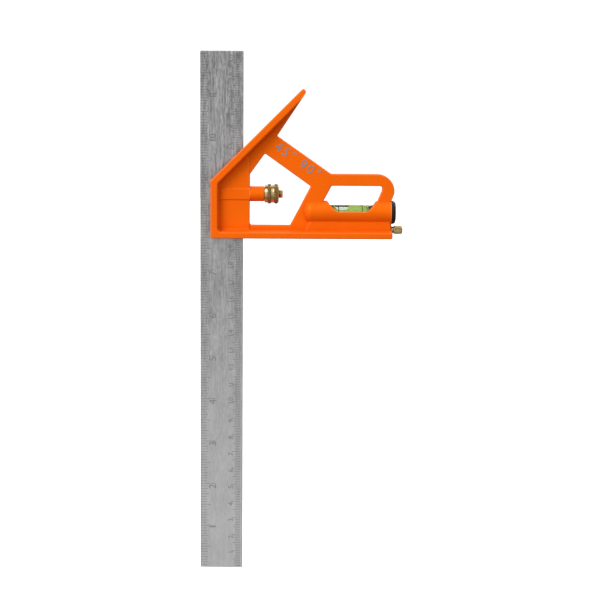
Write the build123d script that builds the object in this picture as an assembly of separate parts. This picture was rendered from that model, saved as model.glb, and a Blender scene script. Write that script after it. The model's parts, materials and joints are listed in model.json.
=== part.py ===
from build123d import *
import math
import os

# Combination square with a 12 inch steel blade. All lengths are in millimetres.
# Frame: +X runs from the blade to the handle and +Z runs up the blade. The front of the tool
# faces -Y. The origin is where the blade's inch edge crosses the plane of the 90 degree face,
# half-way through the blade's thickness.

# --- blade ---
BLADE_LENGTH = 304.8
BLADE_WIDTH = 25.0
BLADE_THICKNESS = 1.2
BLADE_BELOW_FACE = 196.8
BLADE_CORNER = 0.4
GROOVE_WIDTH = 3.0
GROOVE_DEPTH = 0.5
SLOT_GAP = 0.05

# --- casting: rim of left wall, 45 degree fence and 90 degree fence ---
WALL_X = 6.35
WALL_TOP_Z = 33.4
MITER_TIP_X = 59.5
NOSE_X = 61.0
NOSE_TOP_Z = 85.4
NOSE_LOW_Z = 83.9
FENCE_END_X = 111.8
FENCE_HEIGHT = 3.6
LEDGE_TOP_Z = 5.8
FENCE_HALF_DEPTH = 9.5
RIM_THICKNESS = 3.9
RIM_DRAFT_DEG = 12.0
RIM_FLOOR_ROUND = 1.0
RIM_EDGE_ROUND = 0.7
RIM_CORNER = 1.0

# --- casting: inner plates ---
HOUSING_HALF = 3.5
HOUSING_END_X = 28.8
HOUSING_EDGE_SLANT = 0.4
WEB_CORE_HALF = 1.0
PLATE_HALF = 3.0
PLATE_EDGE_ROUND = 0.7
BLOCK_HALF = 4.3
BLOCK_CHAMFER = 1.1
BODY_END_X = 111.3
BAR_TOP_Z = 7.6
HANDLE_TOP_Z = 37.4
HANDLE_BAR_Z = 30.6
HANDLE_CORNER = 9.9
RELIEF_WIDTH = 1.7

# --- clamp ---
CLAMP_Z = 25.6
BOSS_END_X = 37.2
BOSS_RADIUS = 4.4
BAND_HALF = 4.0
BAND_REACH = 3.6
BAND_ROUND = 0.9
CLAMP_BORE_RADIUS = 3.15
SHANK_BORE_RADIUS = 2.52
BOLT_HEAD_RADIUS = 3.07
BOLT_SHANK_RADIUS = 2.2
BOLT_LEFT_X = 10.4
BOLT_SLOT_END_X = 26.5
BOLT_SHOULDER_X = 27.6
BOLT_END_X = 48.0
THREAD_RADIUS = 2.45
THREAD_PITCH = 0.8
THREAD_DEPTH = 0.35
LUG_WIDTH = 1.6
SPRING_SEAT_X = 33.8
SPRING_WIRE_RADIUS = 0.36
SPRING_TURNS = 4.5
NUT_GAP = 0.05
NUT_END_X = 45.7
NUT_BAND_RADIUS = 5.1
NUT_COLLAR_RADIUS = 5.7
NUT_COLLARS = ((39.15, 41.25), (43.0, 45.2))
NUT_TEETH = 28

# --- level vial ---
VIAL_Z = 15.2
VIAL_HOUSING_RADIUS = 6.7
VIAL_HOUSING_X = 60.2
VIAL_HOUSING_ROUND = 4.6
WINDOW_Z = 15.8
VIAL_BORE_RADIUS = 4.35
VIAL_RADIUS = 4.25
VIAL_LEFT_X = 66.5
VIAL_RIGHT_X = 107.6
CAVITY_LEFT_X = 69.0
CAVITY_RIGHT_X = 103.4
CAVITY_END_RADIUS = 2.7
CAVITY_MID_RADIUS = 3.05
INDEX_XS = (80.5, 94.3)
INDEX_WIDTH = 0.45
INDEX_HEIGHT = 0.05
BUBBLE_X = 82.5
BUBBLE_LENGTH = 8.2
BUBBLE_RADIUS = 1.15
BUBBLE_GAP = 0.03
PLUG_RADIUS = 6.75
PLUG_HEAD = 2.5
PLUG_ROUND = 1.9

# --- scriber ---
SCRIBER_Z = 5.1
NEEDLE_RADIUS = 1.0
NEEDLE_TIP_RADIUS = 0.12
NEEDLE_TIP_X = 78.6
NEEDLE_POINT = 6.0
NEEDLE_SEAT = 3.0
NEEDLE_BORE_RADIUS = 1.1
SHANK_RADIUS = 1.95
SHANK_LEFT_X = 106.9
KNOB_LEFT_X = 112.6
KNOB_RIGHT_X = 117.9
KNOB_RADIUS = 2.5
KNOB_TEETH = 18
TOOTH_DEPTH = 0.3

SLOT_HALF = BLADE_THICKNESS / 2 + SLOT_GAP
MITER_TIP_Z = WALL_TOP_Z + MITER_TIP_X - WALL_X
FAR = 200.0
ARM_TOP_LEFT = (44.7, 59.3)
ARM_TOP_RIGHT = (76.1, HANDLE_TOP_Z)

# Main window, in (x, z): the opening between the housing, the arm, the leg and the bar.
MAIN_WINDOW = [
    (HOUSING_END_X, BAR_TOP_Z),
    (HOUSING_END_X, 36.9),
    (37.6, 49.1),
    (64.3, 30.2),
    (52.3, BAR_TOP_Z),
]
WINDOW_ROUNDS = [
    (HOUSING_END_X, BAR_TOP_Z, 1.3),
    (37.6, 49.1, 0.8),
    (64.3, 30.2, 1.0),
    (52.3, BAR_TOP_Z, 0.6),
]
# Everything to the right of nose, arm and leg that the rim doesn't fill, down to the ledge
# along the 90 degree fence.
OUTER_CUT = [
    (NOSE_X, NOSE_LOW_Z),
    ARM_TOP_LEFT,
    (53.0, 48.0),
    (62.0, 20.0),
    (56.8, LEDGE_TOP_Z),
    (BODY_END_X, LEDGE_TOP_Z),
    (BODY_END_X, FENCE_HEIGHT),
    (FAR, FENCE_HEIGHT),
    (FAR, NOSE_LOW_Z),
]


def outline(points, rounds=()):
    """Face in the XZ plane. Each (x, z, radius) in rounds names a corner that is rounded."""
    face = Plane.XZ * Polygon(*points, align=None)
    for x, z, radius in rounds:
        corner = face.vertices().sort_by_distance((x, 0, z))[0]
        face = fillet(corner, radius)
    return face


def plate(points, half_depth, rounds=()):
    return extrude(outline(points, rounds), half_depth, both=True)


def edges_at_depth(part, half_depth):
    """Edges that lie in the front and back planes at this half depth."""
    front = part.edges().filter_by_position(Axis.Y, -half_depth - 0.01, 0.01 - half_depth)
    back = part.edges().filter_by_position(Axis.Y, half_depth - 0.01, half_depth + 0.01)
    return front + back


def rod(radius, x_low, x_high, z):
    """Cylinder along X."""
    return Pos((x_low + x_high) / 2, 0, z) * Rot(0, 90, 0) * Cylinder(radius, x_high - x_low)


def turned(points, z):
    """Solid turned about an axis along X at height z, from (x, radius) points."""
    face = Plane.XZ * Polygon(*[(x, z + radius) for x, radius in points], align=None)
    return revolve(face, Axis((0, 0, z), (1, 0, 0)))


def toothed_rod(radius, teeth, x_low, x_high, z):
    """Cylinder along X with straight knurling."""
    corners = []
    for step in range(2 * teeth):
        angle = math.pi * step / teeth
        reach = radius - TOOTH_DEPTH * (step % 2)
        corners.append((reach * math.cos(angle), reach * math.sin(angle)))
    across = Plane((x_low, 0, z), x_dir=(0, 1, 0), z_dir=(1, 0, 0))
    return extrude(across * Polygon(*corners, align=None), x_high - x_low)


def pocket_tool(floor_half):
    """Space inside the rim in front of a floor at this half depth, with drafted sides."""
    inner_x = WALL_X + RIM_THICKNESS
    inner_z = WALL_TOP_Z + RIM_THICKNESS - RIM_THICKNESS * math.sqrt(2)
    mouth = outline(
        [
            (inner_x, FENCE_HEIGHT),
            (inner_x, inner_z),
            (inner_x + FAR, inner_z + FAR),
            (inner_x + 2 * FAR, FENCE_HEIGHT),
        ],
        [(inner_x, FENCE_HEIGHT, 2.4), (inner_x, inner_z, 2.4)],
    )
    depth = FENCE_HALF_DEPTH - floor_half
    front = Pos(0, -FENCE_HALF_DEPTH, 0) * mouth
    pocket = extrude(front, depth, dir=(0, 1, 0), taper=RIM_DRAFT_DEG)
    return fillet(edges_at_depth(pocket, floor_half), RIM_FLOOR_ROUND)


def both_sides(tool):
    return tool + tool.mirror(Plane.XZ)


def web_side():
    """Space to the right of the housing, on the front. It starts with the slant of the
    housing's edge."""
    edge_y = -HOUSING_HALF
    corners = [
        (HOUSING_END_X, 0),
        (HOUSING_END_X, edge_y + HOUSING_EDGE_SLANT),
        (HOUSING_END_X - HOUSING_EDGE_SLANT, edge_y),
        (HOUSING_END_X - HOUSING_EDGE_SLANT, -FENCE_HALF_DEPTH),
        (FAR, -FENCE_HALF_DEPTH),
        (FAR, 0),
    ]
    return extrude(Plane.XY * Polygon(*corners, align=None), FAR)


def rim():
    """Left wall, 45 degree fence and 90 degree fence, with the housing plate between them and
    a thin core where the inner plate goes."""
    body = plate(
        [
            (WALL_X, 0),
            (WALL_X, WALL_TOP_Z),
            (MITER_TIP_X, MITER_TIP_Z),
            (NOSE_X, NOSE_TOP_Z),
            (NOSE_X, NOSE_LOW_Z),
            (FENCE_END_X, 2 * FENCE_HEIGHT),
            (FENCE_END_X, 0),
        ],
        FENCE_HALF_DEPTH,
        [
            (WALL_X, 0, RIM_CORNER),
            (WALL_X, WALL_TOP_Z, RIM_CORNER),
            (MITER_TIP_X, MITER_TIP_Z, RIM_CORNER),
            (NOSE_X, NOSE_TOP_Z, RIM_CORNER),
            (FENCE_END_X, 0, RIM_CORNER),
        ],
    )
    body -= both_sides(pocket_tool(HOUSING_HALF))
    body = fillet(edges_at_depth(body, FENCE_HALF_DEPTH), RIM_EDGE_ROUND)
    body -= both_sides(pocket_tool(WEB_CORE_HALF) & web_side())
    return body - plate(MAIN_WINDOW, FAR, WINDOW_ROUNDS) - plate(OUTER_CUT, FAR)


def inner_plate():
    """The flat plate of nose, arm, leg, handle and bar, with rounded free edges. Its left, top
    and bottom sides are buried in the housing and the fences."""
    buried = RIM_THICKNESS / 2
    left = HOUSING_END_X - 8
    right = NOSE_X - 0.8
    face_rise = MITER_TIP_Z - MITER_TIP_X
    outer = outline(
        [
            (left, buried),
            (left, left + face_rise - buried),
            (right, right + face_rise - buried),
            (NOSE_X, NOSE_LOW_Z),
            ARM_TOP_LEFT,
            ARM_TOP_RIGHT,
            (112.9, HANDLE_TOP_Z),
            (112.9, 26.5),
            (110.3, 19.5),
            (104.0, 14.0),
            (104.0, buried),
        ],
        [
            (112.9, HANDLE_TOP_Z, HANDLE_CORNER),
            (112.9, 26.5, 3.0),
            (*ARM_TOP_RIGHT, 1.5),
        ],
    )
    hole = outline(
        [
            (76.4, HANDLE_BAR_Z),
            (105.9, HANDLE_BAR_Z),
            (105.9, 28.0),
            (102.0, 19.0),
            (70.3, 19.0),
        ],
        [(105.9, HANDLE_BAR_Z, 1.6), (105.9, 28.0, 2.0), (76.4, HANDLE_BAR_Z, 0.8)],
    )
    window = outline(MAIN_WINDOW, WINDOW_ROUNDS)
    body = extrude(outer - hole - window, PLATE_HALF, both=True)
    return fillet(edges_at_depth(body, PLATE_HALF), PLATE_EDGE_ROUND)


def vial_housing():
    """Cylinder with a domed left end, over the block that holds the scriber."""
    barrel = rod(VIAL_HOUSING_RADIUS, VIAL_HOUSING_X, BODY_END_X, VIAL_Z)
    dome = barrel.edges().sort_by(Axis.X)[0]
    barrel = fillet(dome, VIAL_HOUSING_ROUND)
    block = plate(
        [
            (59.3, 2.0),
            (63.4, 10.6),
            (66.0, 14.0),
            (BODY_END_X, 14.0),
            (BODY_END_X, 2.0),
        ],
        BLOCK_HALF,
    )
    block = chamfer(edges_at_depth(block, BLOCK_HALF), BLOCK_CHAMFER)
    return barrel + block


def clamp_boss():
    """Round boss beside the housing, and the flat band that carries its bore through it."""
    boss = rod(BOSS_RADIUS, HOUSING_END_X - 0.1, BOSS_END_X, CLAMP_Z)
    boss = fillet(boss.edges().sort_by(Axis.X)[-1], 0.4)
    left = WALL_X + 2
    length = HOUSING_END_X - left
    band = Box(length, 2 * BAND_HALF, 2 * BAND_REACH)
    band = fillet(band.edges().filter_by(Axis.X), BAND_ROUND)
    return boss + Pos(left + length / 2, 0, CLAMP_Z) * band


def blade_slot():
    """Slot that is open to the left, with a relief where it meets the 45 degree face."""
    width = BLADE_WIDTH + SLOT_GAP
    top = MITER_TIP_Z
    slot = Pos(width / 2, 0, top / 2 - 1) * Box(width, 2 * SLOT_HALF, top)
    relief_x = BLADE_WIDTH + RELIEF_WIDTH / 2
    relief = Pos(relief_x, 0, 52) * Box(RELIEF_WIDTH, 2 * SLOT_HALF, 12)
    return slot + relief


def clamp_bores():
    """Wide bore for the clamp bolt's head and spring, then a close one for its shank."""
    wide = rod(CLAMP_BORE_RADIUS, WALL_X - 1, SPRING_SEAT_X, CLAMP_Z)
    close = rod(SHANK_BORE_RADIUS, SPRING_SEAT_X - 1, BOSS_END_X + 1, CLAMP_Z)
    return wide + close


def vial_cuts():
    """Bore for the vial and the window that shows it from front and back."""
    bore = rod(VIAL_BORE_RADIUS, VIAL_LEFT_X - 0.5, BODY_END_X + 1, VIAL_Z)
    window = plate(
        [
            (72.9, 23.5),
            (75.7, 19.2),
            (79.2, WINDOW_Z),
            (97.6, WINDOW_Z),
            (100.8, 19.2),
            (103.4, 23.5),
        ],
        FAR,
        [(79.2, WINDOW_Z, 5.0), (97.6, WINDOW_Z, 5.0)],
    )
    return bore + window


def scriber_bores():
    needle = rod(NEEDLE_BORE_RADIUS, NEEDLE_TIP_X - 0.6, BODY_END_X + 1, SCRIBER_Z)
    shank = rod(SHANK_RADIUS + 0.04, SHANK_LEFT_X - 0.1, BODY_END_X + 1, SCRIBER_Z)
    return needle + shank


def head_casting():
    body = rim() + inner_plate() + vial_housing() + clamp_boss()
    body -= blade_slot()
    body -= clamp_bores()
    body -= vial_cuts()
    body -= scriber_bores()
    return body


def blade():
    """Rule with a clamp groove down the middle of its back."""
    middle_z = BLADE_LENGTH / 2 - BLADE_BELOW_FACE
    place = Pos(BLADE_WIDTH / 2, 0, middle_z)
    bar = place * Box(BLADE_WIDTH, BLADE_THICKNESS, BLADE_LENGTH)
    bar = fillet(bar.edges().filter_by(Axis.Y), BLADE_CORNER)
    back_y = BLADE_THICKNESS / 2
    groove = Box(GROOVE_WIDTH, 2 * GROOVE_DEPTH, BLADE_LENGTH + 2)
    return bar - place * Pos(0, back_y, 0) * groove


def clamp_bolt():
    """Hooked bolt: a half-round head behind the blade with a lug in the blade's groove."""
    thread_steps = int((BOLT_END_X - 0.6 - BOSS_END_X - 0.8) / THREAD_PITCH)
    thread_start = BOLT_END_X - 0.6 - thread_steps * THREAD_PITCH
    root = THREAD_RADIUS - THREAD_DEPTH
    points = [
        (BOLT_LEFT_X, 0),
        (BOLT_LEFT_X, BOLT_HEAD_RADIUS),
        (BOLT_SHOULDER_X, BOLT_HEAD_RADIUS),
        (BOLT_SHOULDER_X, BOLT_SHANK_RADIUS),
        (SPRING_SEAT_X, BOLT_SHANK_RADIUS),
        (SPRING_SEAT_X + 0.3, THREAD_RADIUS),
        (thread_start, THREAD_RADIUS),
    ]
    for step in range(thread_steps):
        crest_x = thread_start + step * THREAD_PITCH
        points.append((crest_x + 0.2, THREAD_RADIUS))
        points.append((crest_x + 0.5, root))
        points.append((crest_x + THREAD_PITCH, THREAD_RADIUS))
    points += [(BOLT_END_X, root - 0.2), (BOLT_END_X, 0)]
    body = turned(points, CLAMP_Z)
    flat_y = SLOT_HALF
    cut_length = BOLT_SLOT_END_X - BOLT_LEFT_X + 1
    cut = Box(cut_length, FAR, FAR)
    body -= Pos(BOLT_SLOT_END_X - cut_length / 2, flat_y - FAR / 2, CLAMP_Z) * cut
    groove_right = (BLADE_WIDTH + GROOVE_WIDTH) / 2
    lug_low_y = BLADE_THICKNESS / 2 - GROOVE_DEPTH + SLOT_GAP
    lug = Box(LUG_WIDTH, flat_y + 0.4 - lug_low_y, 4.6)
    lug_x = groove_right - SLOT_GAP - LUG_WIDTH / 2
    return body + Pos(lug_x, (flat_y + 0.4 + lug_low_y) / 2, CLAMP_Z) * lug


def clamp_spring():
    """Open coil spring round the bolt's shank, between its shoulder and the boss."""
    length = SPRING_SEAT_X - BOLT_SHOULDER_X - 2 * SPRING_WIRE_RADIUS - 0.1
    coil_radius = (BOLT_SHANK_RADIUS + CLAMP_BORE_RADIUS) / 2
    path = Helix(pitch=length / SPRING_TURNS, height=length, radius=coil_radius)
    wire = Plane(path @ 0, z_dir=path % 0) * Circle(SPRING_WIRE_RADIUS)
    coil = sweep(wire, path)
    start_x = BOLT_SHOULDER_X + SPRING_WIRE_RADIUS + 0.05
    return Pos(start_x, 0, CLAMP_Z) * Rot(0, 90, 0) * coil


def clamp_nut():
    """Round brass nut with two knurled collars."""
    left = BOSS_END_X + NUT_GAP
    body = turned(
        [
            (left, 0),
            (left, NUT_BAND_RADIUS - 0.5),
            (left + 0.5, NUT_BAND_RADIUS),
            (NUT_END_X - 0.4, NUT_BAND_RADIUS),
            (NUT_END_X, NUT_BAND_RADIUS - 0.6),
            (NUT_END_X, 0),
        ],
        CLAMP_Z,
    )
    for low, high in NUT_COLLARS:
        body += toothed_rod(NUT_COLLAR_RADIUS, NUT_TEETH, low, high, CLAMP_Z)
    return body - rod(THREAD_RADIUS + 0.05, left - 1, NUT_END_X + 1, CLAMP_Z)


def cavity(gap=0.0):
    """Barrel-shaped space inside the vial tube, shrunk all round by the gap."""
    low = CAVITY_LEFT_X + gap
    high = CAVITY_RIGHT_X - gap
    side = VIAL_Z + CAVITY_END_RADIUS - gap
    crown = VIAL_Z + CAVITY_MID_RADIUS - gap
    barrel = ThreePointArc((low, side), ((low + high) / 2, crown), (high, side))
    rest = Polyline((high, side), (high, VIAL_Z), (low, VIAL_Z), (low, side))
    face = Plane.XZ * make_face([barrel, rest])
    return revolve(face, Axis((0, 0, VIAL_Z), (1, 0, 0)))


def vial_tube():
    """Clear tube, closed at the left, open at the right for its stopper."""
    body = rod(VIAL_RADIUS, VIAL_LEFT_X, VIAL_RIGHT_X, VIAL_Z)
    body = fillet(body.edges().sort_by(Axis.X)[0], 0.8)
    mouth = rod(CAVITY_END_RADIUS, CAVITY_RIGHT_X - 0.5, VIAL_RIGHT_X + 1, VIAL_Z)
    return body - cavity() - mouth


def vial_stopper():
    return rod(CAVITY_END_RADIUS, CAVITY_RIGHT_X, VIAL_RIGHT_X - 0.4, VIAL_Z)


def bubble_shape(gap=0.0):
    """Long air bubble that lies against the top of the barrel."""
    half = BUBBLE_LENGTH / 2 + gap
    reach = BUBBLE_RADIUS + gap
    z = VIAL_Z + CAVITY_MID_RADIUS - BUBBLE_RADIUS - 0.1
    curve = EllipticalCenterArc((BUBBLE_X, z), half, reach, start_angle=0, arc_size=180)
    face = Plane.XZ * make_face([curve, Line((BUBBLE_X - half, z), (BUBBLE_X + half, z))])
    return revolve(face, Axis((0, 0, z), (1, 0, 0)))


def vial_liquid():
    return cavity(0.01) - bubble_shape(BUBBLE_GAP)


def vial_index_rings():
    """The two printed rings that frame the bubble when the tool is level."""
    rings = []
    for x in INDEX_XS:
        low = x - INDEX_WIDTH / 2
        high = x + INDEX_WIDTH / 2
        outer = rod(VIAL_RADIUS + INDEX_HEIGHT, low, high, VIAL_Z)
        rings.append(outer - rod(VIAL_RADIUS, low - 1, high + 1, VIAL_Z))
    return Compound(rings)


def vial_plug():
    """End plug whose stem closes the vial's bore."""
    head = rod(PLUG_RADIUS, BODY_END_X, BODY_END_X + PLUG_HEAD, VIAL_Z)
    head = fillet(head.edges().sort_by(Axis.X)[-1], PLUG_ROUND)
    return head + rod(VIAL_BORE_RADIUS, VIAL_RIGHT_X + 0.1, BODY_END_X + 0.5, VIAL_Z)


def scriber_needle():
    """Steel point; its right end is set in the knob."""
    right = SHANK_LEFT_X + NEEDLE_SEAT
    return turned(
        [
            (NEEDLE_TIP_X, 0),
            (NEEDLE_TIP_X, NEEDLE_TIP_RADIUS),
            (NEEDLE_TIP_X + NEEDLE_POINT, NEEDLE_RADIUS),
            (right, NEEDLE_RADIUS),
            (right, 0),
        ],
        SCRIBER_Z,
    )


def scriber_knob():
    """Brass head with straight knurling, on a shank that grips the casting's bore."""
    shank = rod(SHANK_RADIUS, SHANK_LEFT_X, KNOB_LEFT_X + 1, SCRIBER_Z)
    head = toothed_rod(KNOB_RADIUS, KNOB_TEETH, KNOB_LEFT_X, KNOB_RIGHT_X, SCRIBER_Z)
    chamfered = turned(
        [
            (KNOB_LEFT_X, 0),
            (KNOB_LEFT_X, KNOB_RADIUS - 0.5),
            (KNOB_LEFT_X + 0.5, KNOB_RADIUS),
            (KNOB_RIGHT_X - 0.6, KNOB_RADIUS),
            (KNOB_RIGHT_X, KNOB_RADIUS - 0.6),
            (KNOB_RIGHT_X, 0),
        ],
        SCRIBER_Z,
    )
    seat = rod(NEEDLE_RADIUS, SHANK_LEFT_X - 1, SHANK_LEFT_X + NEEDLE_SEAT, SCRIBER_Z)
    return (head & chamfered) + shank - seat


PARTS = {
    "head_casting": head_casting,
    "blade": blade,
    "clamp_bolt": clamp_bolt,
    "clamp_spring": clamp_spring,
    "clamp_nut": clamp_nut,
    "vial_tube": vial_tube,
    "vial_stopper": vial_stopper,
    "vial_liquid": vial_liquid,
    "vial_bubble": bubble_shape,
    "vial_index_rings": vial_index_rings,
    "vial_plug": vial_plug,
    "scriber_needle": scriber_needle,
    "scriber_knob": scriber_knob,
}

os.makedirs("parts", exist_ok=True)
for name, make in PARTS.items():
    export_step(make(), f"parts/{name}.step")
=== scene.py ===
import json
import math

import bmesh
import bpy
from mathutils import Matrix, Vector


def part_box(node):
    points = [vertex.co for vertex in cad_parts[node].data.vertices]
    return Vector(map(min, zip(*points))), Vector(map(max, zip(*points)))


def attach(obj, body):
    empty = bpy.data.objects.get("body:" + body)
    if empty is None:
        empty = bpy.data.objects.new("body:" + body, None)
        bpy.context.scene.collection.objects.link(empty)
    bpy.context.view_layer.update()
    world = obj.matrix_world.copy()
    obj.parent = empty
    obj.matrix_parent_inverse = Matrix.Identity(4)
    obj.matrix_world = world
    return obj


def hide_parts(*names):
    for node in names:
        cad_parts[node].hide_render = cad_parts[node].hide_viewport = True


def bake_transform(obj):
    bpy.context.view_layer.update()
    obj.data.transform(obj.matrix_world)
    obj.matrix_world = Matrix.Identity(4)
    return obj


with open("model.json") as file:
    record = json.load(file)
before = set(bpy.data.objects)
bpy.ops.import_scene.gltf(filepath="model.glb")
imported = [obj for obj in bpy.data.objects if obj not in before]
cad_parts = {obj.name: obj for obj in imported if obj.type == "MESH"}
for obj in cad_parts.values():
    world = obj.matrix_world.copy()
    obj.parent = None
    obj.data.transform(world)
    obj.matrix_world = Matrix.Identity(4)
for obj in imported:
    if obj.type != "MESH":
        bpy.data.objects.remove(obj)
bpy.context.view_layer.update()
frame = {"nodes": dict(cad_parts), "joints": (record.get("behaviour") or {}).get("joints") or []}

# The looks of a combination square. Lengths below are in millimetres, in the CAD frame:
# +X from the blade to the handle, +Z up the blade, the front of the tool faces -Y.
MM = 0.001

# --- shared by several pieces; angles in degrees ---
SMOOTH_ANGLE = 35.0
KNURL_SMOOTH_ANGLE = 50.0
SQUARE_TO_AXIS = 0.999
ROUND_SEGMENTS = 96
KNURL_STEPS = 10
TURNED_ROUNDING = 0.12
NEAR_AXIS = 0.5

# --- blade: a graduation's length goes by the largest step that divides its number ---
INCH = 25.4
TICKS_PER_INCH = 16
INCH_TICKS = {16: 9.0, 8: 6.0, 4: 4.8, 2: 4.3, 1: 3.8}
CENTIMETRE = 10
MILLIMETRE_TICKS = {10: 5.2, 5: 4.4, 1: 3.1}
MILLIMETRE_INSET = 1.4
TICK_OVERRUN = 0.1
INCH_NUMERAL_HEIGHT = 4.1
INCH_NUMERAL_X = 9.2
CENTIMETRE_NUMERAL_HEIGHT = 3.0
CENTIMETRE_NUMERAL_X = 19.5
NUMERAL_GAP = 0.55
ETCH_WIDTH = 0.22
ETCH_DEPTH = 0.07
BLADE_WELD = 0.001 * MM
BLADE_BEVEL = {"offset": 0.28 * MM, "segments": 2, "profile": 0.6}
BLADE_SHARP_RADIANS = 0.8
BLADE_FLAT_RADIANS = 0.02
STEEL_SLOT, LINE_SLOT, NUMERAL_SLOT = range(3)

# --- brushed finish: its contrast grows from the lower to the upper height ---
STREAK_CONTRAST_LOW_Z = -150.0
STREAK_CONTRAST_HIGH_Z = 108.0
STREAK_CONTRAST_RANGE = (0.25, 1.1)

# --- clamp nut: a chamfer is (along the axis, towards it), first the left, then the right ---
NUT_BAND = 5.1
NUT_BORE = 2.5
NUT_CHAMFERS = ((0.5, 0.5), (0.35, 0.6))
NUT_COLLARS = ((1.9, 4.0), (5.75, 7.95))
NUT_COLLAR_SLOPE = 0.25
NUT_TEETH = 28
NUT_KNURL_DEPTH = 0.32
NUT_KNURL_FROM = NUT_BAND + 0.03

# --- clamp bolt: lengths named BACK are measured back from its right end ---
THREAD_RADIUS = 2.45
THREAD_PITCH = 0.8
THREAD_DEPTH = 0.4
THREAD_STEPS = 8
THREAD_BLUNTNESS = (1.1, 1.4)
THREAD_END_BACK = 0.7
BOLT_THREAD_BACK = 11.2
BOLT_SEGMENTS = 64
BOLT_NECK = 0.6
BOLT_SHANK = 2.2
BOLT_TIP = ((0.35, 0.15), (0.0, 0.55))
BOLT_SHOULDER_BACK = 20.4
BOLT_HEAD_CHAMFER = 0.3
BOLT_HEAD_ROUNDING = 0.1
BOLT_FLAT_BACK = 21.5
BOLT_FLAT_Y = 0.65
CUTTER_PAST_END = 1.0
CUTTER_REACH = 9.0
LUG_RIGHT_X = 13.95
LUG_WIDTH = 1.6
LUG_LOW_Y = 0.15
LUG_HALF = 2.3
LUG_ROOT = 0.4

# --- clamp spring ---
SPRING_WIRE = 0.36
SPRING_TURNS = 5.5
SPRING_CLOSED_TURNS = 0.5
SPRING_STEPS = 40
SPRING_SIDES = 14

# --- vial ---
VIAL_ROUNDING = 0.7
VIAL_OUTER_SKIN = 0.3
VIAL_END_MARGIN = 0.01
CAVITY_FROM_LEFT = 2.5
CAVITY_FROM_RIGHT = 4.2
CAVITY_END = 2.7
CAVITY_MIDDLE = 3.05
CAVITY_STEPS = 24
LIQUID_SKIN = 0.24
LIQUID_END_GAP = 0.02
LIQUID_SHADE_SHIFT = 1.4
LIQUID_SHADE = (0.50, 0.64)
BUBBLE_CROWN = 2.84
BUBBLE_FLOOR = 1.15
BUBBLE_ROUNDING = 0.4
BUBBLE_BLUNTNESS = 3.2
BUBBLE_ARC_STEPS = 8
BUBBLE_STATIONS = 28
BUBBLE_SMOOTH_ANGLE = 80.0
ACRYLIC_IOR = 1.49
LIQUID_IOR = 1.36

# --- scriber: chamfers as on the nut ---
KNOB_LENGTH = 5.3
KNOB_SHANK = 1.95
KNOB_CREST_RISE = 0.02
KNOB_CHAMFERS = ((0.5, 0.3), (0.7, 0.45))
KNOB_TEETH = 18
KNOB_KNURL_DEPTH = 0.28
NEEDLE_HOLE = 0.9

# --- lettering: CAP_SHARE is a numeral's height as a share of its font size ---
CAP_SHARE = 0.69
NUMERAL_CURVE_STEPS = 3
NUMERAL_WELD = 1e-5

# --- marking on the arm ---
MARKING_TEXT = "45\u00b0 90\u00b0"
MARKING_HEIGHT = 5.5
MARKING_SPACING = 1.25
MARKING_RISE = 0.12
MARKING_SLOPE = -35.0
MARKING_CENTRE = (56.5, 45.4)
ARM_FRONT = 3.0

# --- colours: linear red, green, blue and alpha; a pair is mixed by the grain ---
COAT = ((0.80, 0.110, 0.002, 1), (0.87, 0.128, 0.003, 1))
# painted shade: the darker coat that stands in for shadow in creases and under overhangs
COAT_PAINTED_CREASE_SHADE = (0.50, 0.042, 0.001, 1)
# paler coat over the outer edges: partly thinner paint, partly a painted highlight
COAT_EDGE_WEAR_AND_HIGHLIGHT = (0.92, 0.37, 0.15, 1)
COAT_SHEEN = ((1.0, 0.42, 0.05, 1), (1.0, 0.75, 0.55, 1))
STEEL_GREYS = (0.15, 0.45)
ETCHED_LINE_GREYS = (0.09, 0.15)
ETCHED_NUMERAL_GREYS = (0.15, 0.22)
WIRE_LIGHT_GREY = 0.62
TURNED_BRASS = ((0.50, 0.36, 0.15, 1), (0.70, 0.54, 0.27, 1))
# painted shade: a darker copy of the brass for the knurled collars, where the knurling lies in
# shade
KNURL_PAINTED_SHADE_BRASS = ((0.20, 0.13, 0.045, 1), (0.34, 0.23, 0.09, 1))
BRASS_IN_HOLLOWS = (0.06, 0.036, 0.010, 1)
# black plastic, tinted warm as painted bounce light from the orange casting
BLACK_PLASTIC_PAINTED_WARM = ((0.012, 0.007, 0.005, 1), (0.018, 0.011, 0.009, 1))
BLACK_PRINT = ((0.004, 0.004, 0.004, 1), (0.010, 0.010, 0.010, 1))
MARKING_PAINT = ((0.19, 0.16, 0.175, 1), (0.25, 0.21, 0.23, 1))
STOPPER_PLASTIC = ((0.75, 0.8, 0.6, 1), (0.8, 0.85, 0.68, 1))
ACRYLIC = (0.97, 1.0, 0.95, 1)
# painted shade: dark olive where the tube is seen edge on
ACRYLIC_PAINTED_EDGE_SHADE = (0.05, 0.06, 0.015, 1)
LIQUID = ((0.47, 0.70, 0.15, 1), (0.53, 0.76, 0.20, 1))
# painted shade towards the ends of the liquid
LIQUID_PAINTED_END_SHADE = (0.035, 0.09, 0.03, 1)
# painted light for the bubble: a pale painted reflection, and a painted black outline
BUBBLE_PAINTED_PALE = (0.80, 0.79, 0.87, 1)
BUBBLE_PAINTED_OUTLINE = (0.012, 0.010, 0.020, 1)
FLOOR_GREYS = (0.90, 0.93)

# --- light: brightness of the surround by degrees above the horizon, and from left to right ---
WORLD_HEIGHTS = (
    (-90, 0.22),
    (-45, 0.22),
    (-30, 0.35),
    (-14, 0.60),
    (2, 0.66),
    (20, 0.76),
    (45, 1.05),
    (70, 1.20),
    (90, 1.00),
)
WORLD_SIDES = (
    (-90, 1.0),
    (-50, 0.9),
    (-36, 1.0),
    (-28, 2.8),
    (-20, 2.8),
    (-12, 0.95),
    (30, 1.0),
    (60, 0.60),
    (90, 0.55),
)
BACKDROP_STRENGTH = 1.05

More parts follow.
